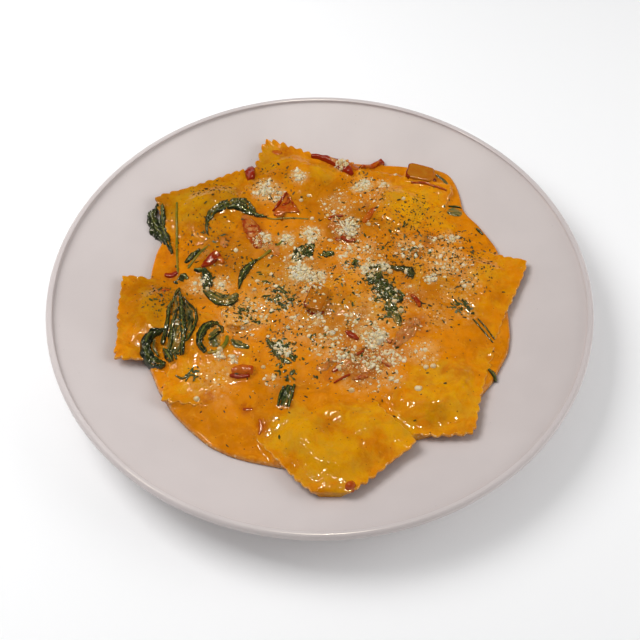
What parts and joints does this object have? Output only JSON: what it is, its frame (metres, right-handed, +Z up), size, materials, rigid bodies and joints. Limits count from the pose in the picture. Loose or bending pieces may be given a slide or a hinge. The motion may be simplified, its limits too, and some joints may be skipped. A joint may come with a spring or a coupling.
{
  "type": "plate of ravioli",
  "caption": "Square ravioli in creamy tomato sauce with spinach, tomato and grated cheese, on a round coupe plate.",
  "frame": {"origin": "centre of the plate's foot ring, on the surface that the plate stands on", "axes": "+Z up, +Y away from the eater, +X to the eater's right"},
  "size_m": [0.27, 0.27, 0.0292],
  "materials": {
    "glazed_stoneware": "smooth satin glaze, warm pale grey with a hint of pink",
    "cream_sauce": "glossy orange tomato cream sauce",
    "pasta": "moist yellow egg pasta under a film of sauce",
    "tomato": "moist orange-red cooked tomato dice",
    "tomato_red": "glossy dark red cooked tomato and peel",
    "tomato_brown": "soft brown-orange tomato flesh, slightly clear",
    "spinach": "wet wilted dark green leaf",
    "stem": "pale green leaf stalk",
    "grated_cheese": "dry cream-coloured crumbs",
    "dried_herbs": "dull olive-green flakes",
    "ground_pepper": "dull black-brown grains"
  },
  "bodies": {
    "root": {"plate": "glazed_stoneware", "sauce": "cream_sauce", "ravioli_left": "pasta", "ravioli_upper_left": "pasta", "ravioli_right": "pasta", "ravioli_upper_right": "pasta", "ravioli_lower_right": "pasta", "ravioli_top": "pasta", "ravioli_lower_left": "pasta", "ravioli_bottom": "pasta", "ravioli_middle_left": "pasta", "ravioli_middle_right": "pasta", "spinach_left_edge": "spinach", "spinach_stem_left": "stem", "tomato_peel_top": "tomato_red", "tomato_slice_top": "tomato_red", "tomato_block_top_right": "tomato", "tomato_wedge_upper_left": "tomato_red", "tomato_wedge_top": "tomato_red", "tomato_left": "tomato_red", "tomato_upper_middle": "tomato_brown", "tomato_dice_middle": "tomato", "tomato_flesh_lower": "tomato_brown", "tomato_right": "tomato_brown", "tomato_dice_lower_left": "tomato_red", "spinach_upper_left": "spinach", "spinach_left_middle": "spinach", "spinach_sprig_middle": "spinach", "spinach_lower_left": "spinach", "spinach_curl_left": "spinach", "spinach_middle": "spinach", "spinach_right": "spinach", "spinach_lower_middle": "spinach", "spinach_leaf_lower": "spinach"}
  },
  "joints": []
}
